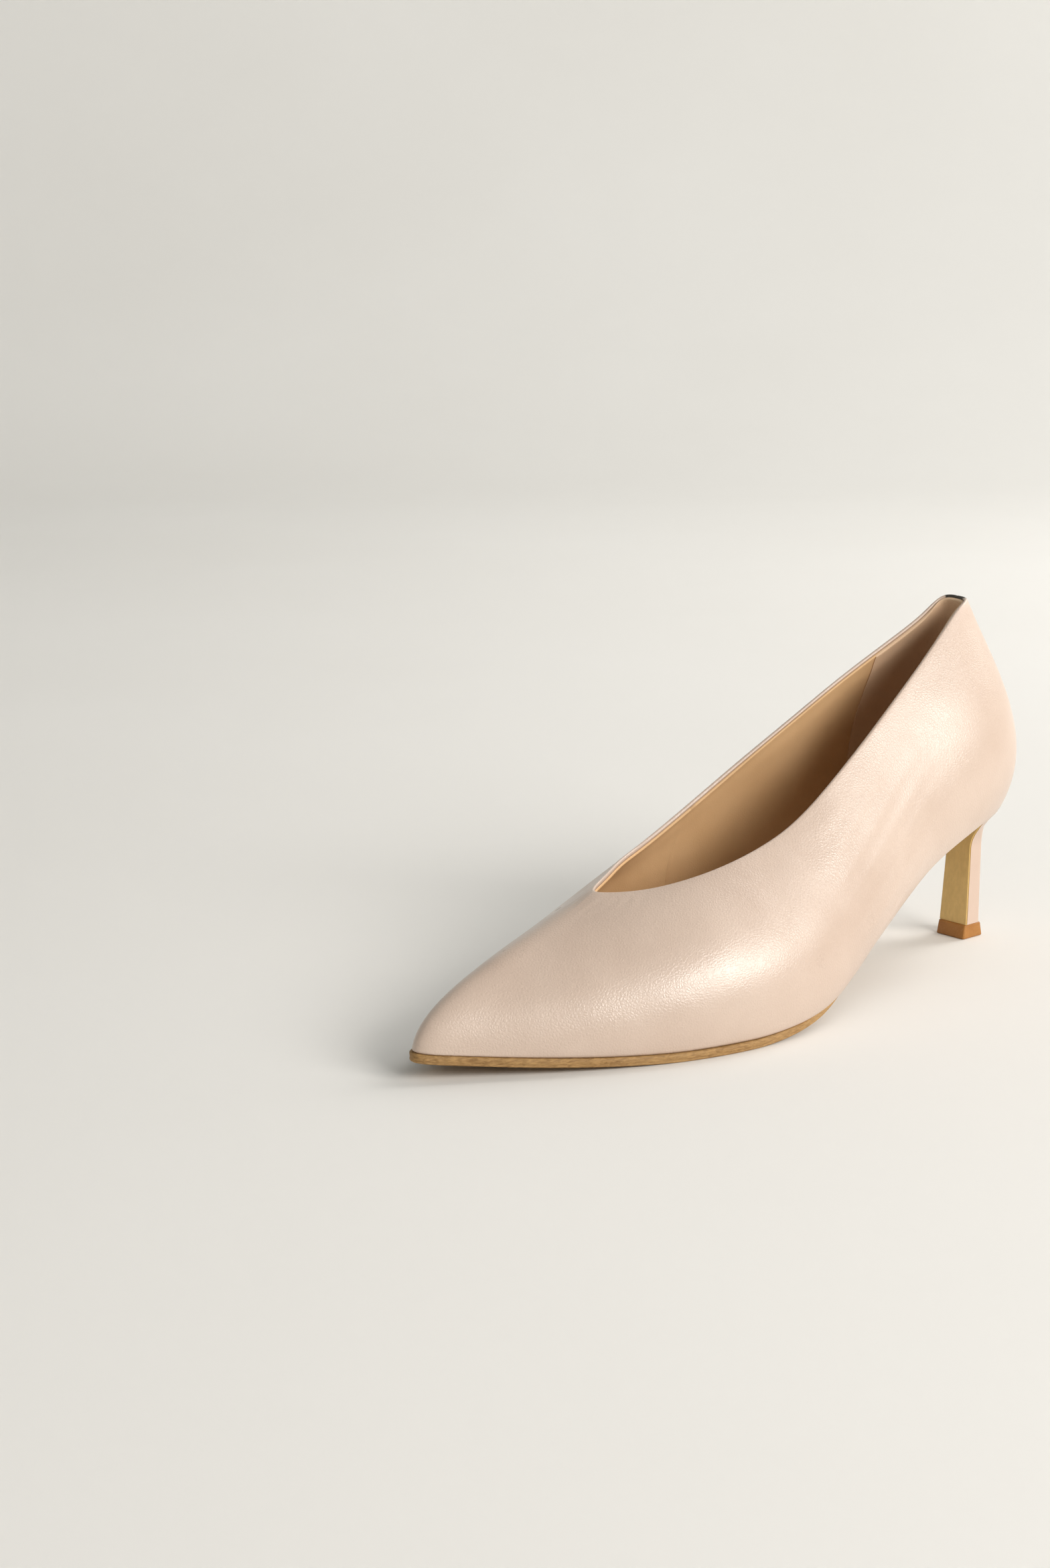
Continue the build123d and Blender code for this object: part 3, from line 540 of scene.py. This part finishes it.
def make_upper():
    u = ring_places()
    top, heading, curve = profile(u)
    inner = inward(u)
    lengths = lengths_of(curve)
    floor = bed((top[:, :1] + curve[..., 0] * heading[:, :1]),
                (top[:, 1:] + curve[..., 0] * heading[:, 1:]))
    total = lengths[:, -1]
    share = np.linspace(0, 1, 46)
    share = share + 0.25 * share * (1 - share) * (1 - 2 * share)      # closer at both ends
    start, stop = FOLD / 2, total - FEATHER_LEG
    wanted = start + (stop - start)[:, None] * share
    side = pick(curve, lengths, wanted)
    side_in = pick(inner, lengths, wanted)
    space = spread(top, heading, side)
    play = surface_play(space, u, wanted)
    seam = np.exp(-((u - BACK) / SEAM_HALF) ** 2)[:, None]
    play = play - SEAM_DEPTH * seam * smooth(wanted, 0.0, 2.0) ** 0.5 * 0.9
    beside = np.exp(-(((u - BACK)[:, None] ** 2) ** 0.5 - 0.06) ** 2 / 0.0012)
    play += 0.10 * beside * smooth(wanted, 1, 3)
    outer = side - side_in * play[..., None]
    # tight corner at the feather edge, then the lasting margin
    reach = curve[:, -1, 0]
    t = np.linspace(0, 1, 8)[1:, None]
    corner = curve[:, -1]
    turn = (1 - t) ** 2 * outer[:, None, -1] + 2 * (1 - t) * t * corner[:, None]
    floor_s = reach - FEATHER_LEG
    floor_z = bed(top[:, 0] + floor_s * heading[:, 0], top[:, 1] + floor_s * heading[:, 1])
    turn = turn + t * t * np.stack([floor_s, floor_z], 1)[:, None]
    leg = (margin_length(u) - FEATHER_LEG)[:, None]
    ends = reach[:, None] - FEATHER_LEG - leg * np.linspace(0.2, 1, 4)
    margin = np.stack([ends, bed(top[:, :1] + ends * heading[:, :1],
                                 top[:, 1:] + ends * heading[:, 1:])], 2)
    back_margin = np.stack([ends[:, ::-1], bed(top[:, :1] + ends[:, ::-1] * heading[:, :1],
                                               top[:, 1:] + ends[:, ::-1] * heading[:, 1:], SKIN)], 2)
    # the inside of the skin, up to the fold
    inner_wanted = (total - 2.6)[:, None] * np.linspace(1, 0, 22)
    inner_wanted = np.maximum(inner_wanted, FOLD / 2)
    depth = SKIN + (FOLD - SKIN) * (1 - smooth(inner_wanted, FOLD_DEPTH - 1, FOLD_DEPTH + 1))
    inside = pick(curve, lengths, inner_wanted) + pick(inner, lengths, inner_wanted) * depth[..., None]
    # the folded edge: a half round over the topline
    first, first_in = outer[:, 0], side_in[:, 0]
    middle = first + first_in * FOLD / 2
    along = curve[:, 0] - pick(curve, lengths, np.full((len(u), 1), FOLD))[:, 0]
    along /= np.linalg.norm(along, axis=1, keepdims=True)
    angles = np.linspace(0, np.pi, 9)[1:-1][::-1]
    lip = 1 + 0.06 * waves(spread(top, heading, middle[:, None]), 22.0, 11)
    fold = middle[:, None] - first_in[:, None] * (FOLD / 2 * np.cos(angles))[None, :, None] \
        + along[:, None] * (FOLD / 2 * np.sin(angles))[None, :, None] * lip[..., None]
    loop = np.concatenate([outer, turn, margin, back_margin, inside, fold], 1)
    piece = swept("upper_shell", spread(top, heading, loop), True)
    dress(piece, upper_leather, "upper_leather", "upper")
    piece.data.materials.append(peak_rim_dark)
    # near-black colour on the faces at the top of the back peak that do not face back
    peak = STATIONS[BACK, 2:5] * MM + SHIFT
    for face in piece.data.polygons:
        middle = face.center
        if (abs(middle.x - peak[0]) < PEAK_HALF * MM and middle.z > peak[2] - PEAK_DROP * MM
                and middle.y > peak[1] - PEAK_FRONT * MM and face.normal.y < 0.35):
            face.material_index = 1


# ---------------------------------------------------------------- linings
def make_lining(name, start, stop, material, slot_name, node, proud=0.0):
    count = max(int((stop - start) * 9), 8)
    u = np.linspace(start, stop, count + 1)
    top, heading, curve = profile(u)
    inner = inward(u)
    lengths = lengths_of(curve)
    total = lengths[:, -1]
    share = np.linspace(0, 1, 30) ** 1.15
    wanted = LINING_DROP + (total - 4.2 - LINING_DROP)[:, None] * share
    line, line_in = pick(curve, lengths, wanted), pick(inner, lengths, wanted)
    ease = smooth(wanted, 1.5, 8.0)
    face_depth = LINING_FACE_TOP + (LINING_FACE - LINING_FACE_TOP) * ease
    back_depth = LINING_TOP + (LINING_BACK - LINING_TOP) * ease
    space = spread(top, heading, line)
    face_depth = face_depth + proud + 0.05 * waves(space, 26.0, 21) * ease
    edge = np.minimum(np.arange(len(u)), np.arange(len(u))[::-1])[:, None]
    face_depth = face_depth - proud * 0.3 * (edge == 0)
    face = line + line_in * face_depth[..., None]
    rear = line + line_in * back_depth[..., None]
    first, last = rear[:, :1], face[:, :1]
    along = line[:, :1] - line[:, 1:2]
    along /= np.linalg.norm(along, axis=2, keepdims=True)
    angles = np.linspace(0, np.pi, 7)[1:-1]
    centre, half = (first + last) / 2, (last - first) / 2
    cap = centre - half * np.cos(angles)[None, :, None] + along * 0.32 * np.sin(angles)[None, :, None]
    loop = np.concatenate([face, rear[:, ::-1], cap], 1)
    piece = swept(name, spread(top, heading, loop), False)
    dress(piece, material, slot_name, node)


# ---------------------------------------------------------------- plates of the bottom
def outline(inset):
    """Outline points at many places, as a function of u."""
    def at(u):
        rows = station(u)
        foot, top = rows[:, :2], rows[:, 2:4]
        reach = np.linalg.norm(foot - top, axis=1, keepdims=True)
        return foot + (top - foot) * inset(u)[:, None] / reach
    return at


def plate(name, at, low, high, edge_round, across=26, along=150, edge_rows=7, edge_play=None):
    """Plate between two lifts off the bed with rounded edges, rows from toe to back."""
    k = np.linspace(0, 1, along + 1)
    k = 0.5 - 0.5 * np.cos(np.pi * k) * (0.35 + 0.65 * np.abs(np.cos(np.pi * k)) ** 0.2)
    k = (k - k[0]) / (k[-1] - k[0])
    sides = []
    for sign in (1, -1):
        u = np.where(sign > 0, k * BACK, COUNT - k * BACK)
        points = at(u)
        tangent = at(u + 0.02) - at(u - 0.02)
        normal = np.stack([tangent[:, 1], -tangent[:, 0]], 1)
        normal /= np.linalg.norm(normal, axis=1, keepdims=True)
        sides.append((u, points, normal))
    (ur, right, normal_r), (ul, left, normal_l) = sides
    t = 0.5 - 0.5 * np.cos(np.linspace(0, np.pi, across))
    bottom = left[:, None] + (right - left)[:, None] * t[None, :, None]

    def lifted(points, lift):
        return np.concatenate([points, bed(points[..., 0], points[..., 1], lift)[..., None]], 2)

    def level(value):
        return value(right[:, 1])[:, None] if callable(value) else value

    lo, hi = level(low), level(high)
    s = np.linspace(0, 1, edge_rows)
    bulge = np.sqrt(np.clip(1 - np.abs(2 * s - 1) ** 4, 0, 1))

    def edge(points, normal, u):
        out = edge_round * bulge[None, :, None] * np.ones((len(points), 1, 1))
        if edge_play is not None:
            out = out + edge_play(points, s)[..., None]
        place = points[:, None] + normal[:, None] * out
        height = bed(place[..., 0], place[..., 1], lo + (hi - lo) * s)
        return np.concatenate([place, height[..., None]], 2)

    under = lifted(bottom, lo * np.ones((1, across)))
    over = lifted(bottom[:, ::-1], hi * np.ones((1, across)))
    right_edge = edge(right, normal_r, ur)
    left_edge = edge(left, normal_l, ul)[:, ::-1]
    loop = np.concatenate([under, right_edge, over, left_edge], 1)
    return swept(name, loop, False)


SOLE_STATIONS = [-13, -8, -7, -6, -5, 0, 5, 6, 7, 8, 9, 10, 13]
SOLE_INSETS = [11, 9, 6, 2, 0.1, -0.1, -0.1, 1.1, 3.5, 7, 10, 12, 12]


def sole_inset(u):
    place = (np.asarray(u) + BACK) % COUNT - BACK
    place = np.where(np.asarray(u) == BACK, BACK, place)
    soft = sum(np.interp(place + d, SOLE_STATIONS, SOLE_INSETS) for d in (-0.5, -0.25, 0, 0.25, 0.5))
    return soft / 5


def waist_lift(y):
    return -OUTSOLE + (OUTSOLE - OUTSOLE_WAIST) * smooth(y, TREAD_END, TREAD_END + 40)


def sole_edge_play(points, s):
    """Raw fibre on the upper band of the edge, a shallow groove, a smooth strip below."""
    groove = -0.16 * np.exp(-((s - 0.30) / 0.07) ** 2) - 0.10 * np.exp(-((s - 0.93) / 0.06) ** 2)
    at = np.stack([points[:, None, 0] + 0 * s, points[:, None, 1] + 0 * s,
                   3 * s + 0 * points[:, None, 0]], 2)
    fuzz = 0.07 * waves(at, 2.2, 31) + 0.05 * waves(at, 1.1, 32)
    return groove + fuzz * smooth(s, 0.32, 0.45)


def make_sole():
    piece = plate("outsole_plate", outline(sole_inset), waist_lift, SOLE_TOP, SOLE_ROUND,
                  along=420, edge_rows=15, edge_play=sole_edge_play)
    dress(piece, sole_material, "sole_leather", "outsole")


def inner_outline(lift, gap):
    """Outline of a plate that fits inside the linings at one lift."""
    def at(u):
        top, heading, curve = profile(u)
        face = curve + inward(u) * LINING_FACE
        above = face[..., 1] - bed(top[:, :1] + face[..., 0] * heading[:, :1],
                                   top[:, 1:] + face[..., 0] * heading[:, 1:], lift)
        reach = np.array([np.interp(0, -a, f[:, 0]) for a, f in zip(above, face)])
        return top + (reach - gap)[:, None] * heading
    return at


def make_sock():
    piece = plate("sock_sheet", inner_outline(SOCK_HIGH, SOCK_GAP + SOCK_ROUND), SOCK_LOW,
                  SOCK_HIGH, SOCK_ROUND, across=30, along=150)
    dress(piece, sock_material, "sock_leather", "sock_lining")


# ---------------------------------------------------------------- heel
def heel_section(z):
    rise = z - HEEL_BOTTOM
    flare = np.maximum((z - HEEL_WAIST) / (HEEL_TOP - HEEL_WAIST), 0.0) ** 2
    forward = np.maximum((z - HEEL_BREAST_START) / (HEEL_TOP - HEEL_BREAST_START), 0.0) ** 2
    return (HEEL_WIDTH - HEEL_NARROWING * rise + HEEL_FLARE_WIDTH * flare,
            HEEL_FRONT + HEEL_FRONT_LEAN * rise - HEEL_FLARE_DEPTH * forward,
            HEEL_BACK + HEEL_BACK_LEAN * rise,
            HEEL_CORNER + HEEL_FLARE_ROUND * flare)


def rounded_loop(left, right, low, high, front_radius, back_radius, arc=7, side=5):
    """Level loop of a rectangle with its own front and back corner radii."""
    back_radius = min(back_radius, (right - left) / 2 - 0.2, high - low - front_radius - 0.3)
    points = []
    for cx, cy, r, a0 in ((right - front_radius, low + front_radius, front_radius, -90),
                          (right - back_radius, high - back_radius, back_radius, 0),
                          (left + back_radius, high - back_radius, back_radius, 90),
                          (left + front_radius, low + front_radius, front_radius, 180)):
        for a in np.radians(np.linspace(a0, a0 + 90, arc)):
            points.append((cx + r * math.cos(a), cy + r * math.sin(a)))
    full = []
    for i, p in enumerate(points):
        q = points[(i + 1) % len(points)]
        full.append(p)
        if (i + 1) % arc == 0:                     # straight stretches get points too
            full += [tuple(np.add(np.multiply(p, 1 - t), np.multiply(q, t)))
                     for t in np.linspace(0, 1, side + 2)[1:-1]]
    return np.array(full)


def seat_limit(points, gap):
    """Pulls points back inside the feather edge of the heel seat."""
    centre = np.array(SEAT_MIDDLE)
    edge = station(np.linspace(7, 19, 200))[:, :2] - centre
    angle, radius = np.arctan2(edge[:, 0], edge[:, 1]), np.linalg.norm(edge, axis=1)
    order = np.argsort(angle)
    away = points - centre
    limit = np.interp(np.arctan2(away[..., 0], away[..., 1]), angle[order], radius[order]) - gap
    size = np.linalg.norm(away, axis=-1)
    return centre + away * np.minimum(1, limit / np.maximum(size, 1e-6))[..., None]


def heel_tube(name, loop_at, top_lift, levels=60):
    """Tube up the heel; each strand of the outline ends where it meets the seat."""
    heights = np.linspace(HEEL_BOTTOM, HEEL_TOP, 160)
    strands = np.stack([loop_at(z) for z in heights])                 # (z, p, 2)
    gap = bed(strands[..., 0], strands[..., 1], top_lift) - heights[:, None]
    rows = []
    for p in range(strands.shape[1]):
        under = np.argmax(gap[:, p] < 0) if (gap[:, p] < 0).any() else len(heights) - 1
        a, b = gap[under - 1, p], gap[under, p]
        z_top = heights[under - 1] + (heights[under] - heights[under - 1]) * a / max(a - b, 1e-6)
        share = np.linspace(0, 1, levels)
        z = HEEL_BOTTOM + (z_top - HEEL_BOTTOM) * share ** 0.85
        rows.append(np.stack([np.interp(z, heights, strands[:, p, 0]),
                              np.interp(z, heights, strands[:, p, 1]), z], 1))
    return swept(name, np.stack(rows, 1), False)


def make_heel():
    def cover_loop(z):
        width, low, high, radius = heel_section(z)
        loop = rounded_loop(HEEL_X - width / 2, HEEL_X + width / 2, low + FLAP_SHOWN, high, 0.25, radius)
        return seat_limit(loop, SEAT_INSET)

    def flap_loop(z):
        width, low, _, _ = heel_section(z)
        loop = rounded_loop(HEEL_X - width / 2 - 0.03, HEEL_X + width / 2 + 0.03, low,
                            low + FLAP_SHOWN, 0.3, 0.15)
        return seat_limit(loop, SEAT_INSET)

    cover = heel_tube("heel_cover_skin", cover_loop, SOLE_TOP)
    dress(cover, heel_leather, "heel_leather", "heel_cover")
    flap = heel_tube("breast_flap", flap_loop, FLAP_TOP)
    dress(flap, breast_material, "sole_leather", "outsole")


def make_top_piece():
    rows = []
    for z, grow in ((0.0, -0.55), (0.12, -0.22), (0.4, 0.0), (1.2, 0.0), (2.4, 0.0), (3.6, 0.0),
                    (4.55, 0.0), (4.85, -0.08), (TIP_HEIGHT, -0.35)):
        t = z / TIP_HEIGHT
        wide = TIP_WIDTH + (TIP_TOP_WIDTH - TIP_WIDTH) * t + 2 * grow
        deep = TIP_DEPTH + (TIP_TOP_DEPTH - TIP_DEPTH) * t + 2 * grow
        loop = rounded_loop(HEEL_X - wide / 2, HEEL_X + wide / 2, TIP_MIDDLE - deep / 2,
                            TIP_MIDDLE + deep / 2, TIP_CORNER, TIP_CORNER)
        rows.append(np.concatenate([loop, np.full((len(loop), 1), z)], 1))
    piece = swept("top_piece_block", np.stack(rows), False)
    dress(piece, rubber_material, "top_piece_rubber", "top_piece")


# ---------------------------------------------------------------- build
make_upper()
make_lining("vamp_lining_sheet", -VAMP_END, VAMP_END, lining_leather, "lining_leather", "vamp_lining")
make_lining("quarter_lining_outer_sheet", VAMP_END, BACK - GRIP_HALF + GRIP_LAP, lining_leather,
            "lining_leather", "quarter_lining_outer")
make_lining("quarter_lining_inner_sheet", BACK + GRIP_HALF - GRIP_LAP, COUNT - VAMP_END, lining_leather,
            "lining_leather", "quarter_lining_inner")
make_lining("heel_grip_sheet", BACK - GRIP_HALF, BACK + GRIP_HALF, grip_leather, "heel_grip_leather",
            "heel_grip", proud=GRIP_PROUD)
make_sole()
make_sock()
make_heel()
make_top_piece()

REPLACED = {"upper", "vamp_lining", "quarter_lining_outer", "quarter_lining_inner", "heel_grip",
            "outsole", "sock_lining", "heel_cover", "top_piece"}
INNER_SLOTS = {
    "topline_tape": "tape", "back_seam_tape": "tape", "toe_puff": "stiffener",
    "heel_counter": "stiffener", "vamp_interlining": "interlining", "bottom_filler": "cork",
    "shank": "spring_steel", "shank_rivets": "plated_steel", "insole_tuck": "fibreboard",
    "insole_board": "insole_board", "sock_foam": "foam", "heel_pad": "gel_pad",
    "heel_core": "heel_plastic", "top_piece_pin": "plated_steel", "heel_dowel": "spring_steel",
    "heel_screw": "plated_steel", "heel_nails": "plated_steel",
}
for name, node in nodes.items():
    if name not in REPLACED:
        node.data.materials.clear()
        node.data.materials.append(INNER_MATERIALS[INNER_SLOTS[name]])


# ---------------------------------------------------------------- stage
def make_bowl():
    """Seamless backdrop: a flat floor that curves up all round."""
    flat, curve_radius, height = 1.9, 1.2, 3.4
    rings = [(r, 0.0) for r in (0.0, 0.5, 1.0, 1.5, flat)]
    rings += [(flat + curve_radius * math.sin(a), curve_radius * (1 - math.cos(a)))
              for a in np.linspace(0, math.pi / 2, 17)[1:]]
    rings.append((flat + curve_radius, height))
    sides = 96
    points = [(r * math.cos(a), r * math.sin(a), z) for r, z in rings[1:]
              for a in np.linspace(0, 2 * math.pi, sides, endpoint=False)]
    points.append((0.0, 0.0, 0.0))
    faces = [(len(points) - 1, j, (j + 1) % sides) for j in range(sides)]
    for i in range(len(rings) - 2):
        faces += [(i * sides + j, (i + 1) * sides + j, (i + 1) * sides + (j + 1) % sides,
                   i * sides + (j + 1) % sides) for j in range(sides)]
    mesh = bpy.data.meshes.new("studio_bowl")
    mesh.from_pydata(points, [], faces)
    mesh.polygons.foreach_set("use_smooth", [True] * len(mesh.polygons))
    bowl = bpy.data.objects.new("studio_bowl", mesh)
    bpy.context.scene.collection.objects.link(bowl)
    m = Maker("studio_paper")
    mottle = m.noise(2.0, 3.0)
    colour = m.mix(m.ramp(mottle, (0.3, 0.0), (0.7, 1.0)), (0.815, 0.800, 0.770), (0.835, 0.822, 0.795))
    mesh.materials.append(m.finish(colour, m.ramp(mottle, (0.3, 0.78), (0.7, 0.86)),
                                   m.bump(m.noise(900.0, 2.0), 0.00002, 0.4)))
    return bowl


bowl = make_bowl()


def area_light(name, place, aim, size, power, colour):
    data = bpy.data.lights.new(name, "AREA")
    data.shape = "RECTANGLE"
    data.size, data.size_y = size
    data.energy = power
    data.color = colour
    light = bpy.data.objects.new(name, data)
    light.location = place
    light.rotation_euler = (Vector(aim) - Vector(place)).to_track_quat("-Z", "Y").to_euler()
    bpy.context.scene.collection.objects.link(light)


RIGHT = Vector((0.6323, 0.7747, 0.0))          # the photograph's right and depth on the floor
AHEAD = Vector((-0.7747, 0.6323, 0.0))
area_light("key", RIGHT * 1.15 - AHEAD * 0.95 + Vector((0, 0, 0.85)), (0, 0, 0.04), (1.3, 0.6), 27.0,
           (1.0, 0.965, 0.925))
area_light("rear_soft", RIGHT * 1.3 + AHEAD * 0.8 + Vector((0, 0, 1.1)), (0, 0, 0.06), (0.9, 0.9), 10.0,
           (1.0, 0.97, 0.94))
area_light("wall_wash", RIGHT * 1.5 + AHEAD * 1.0 + Vector((0, 0, 2.2)),
           AHEAD * 3.1 + RIGHT * 0.7 + Vector((0, 0, 0.8)), (1.2, 1.0), 37.0, (1.0, 0.985, 0.955))

world = bpy.data.worlds.new("studio_air")
world.use_nodes = True
background = next(n for n in world.node_tree.nodes if n.type == "BACKGROUND")
background.inputs["Color"].default_value = (0.86, 0.965, 1.0, 1)
background.inputs["Strength"].default_value = 0.19
bpy.context.scene.world = world
bpy.context.scene.view_settings.view_transform = "Standard"

# ---------------------------------------------------------------- camera
CAMERA_PLACE = Vector((0.49397, -0.3635, 0.22094)) + Vector(SHIFT)
CAMERA_PITCH, CAMERA_ROLL = 0.21398, -0.01055
look = AHEAD * math.cos(CAMERA_PITCH) - Vector((0, 0, math.sin(CAMERA_PITCH)))
camera_data = bpy.data.cameras.new("camera")
camera_data.lens = 51.505
camera_data.sensor_width = 36.0
camera = bpy.data.objects.new("camera", camera_data)
camera.location = CAMERA_PLACE
turn = look.to_track_quat("-Z", "Y").to_matrix().to_4x4()
camera.rotation_euler = (turn @ Matrix.Rotation(CAMERA_ROLL, 4, "Z")).to_euler()
bpy.context.scene.collection.objects.link(camera)
bpy.context.scene.camera = camera
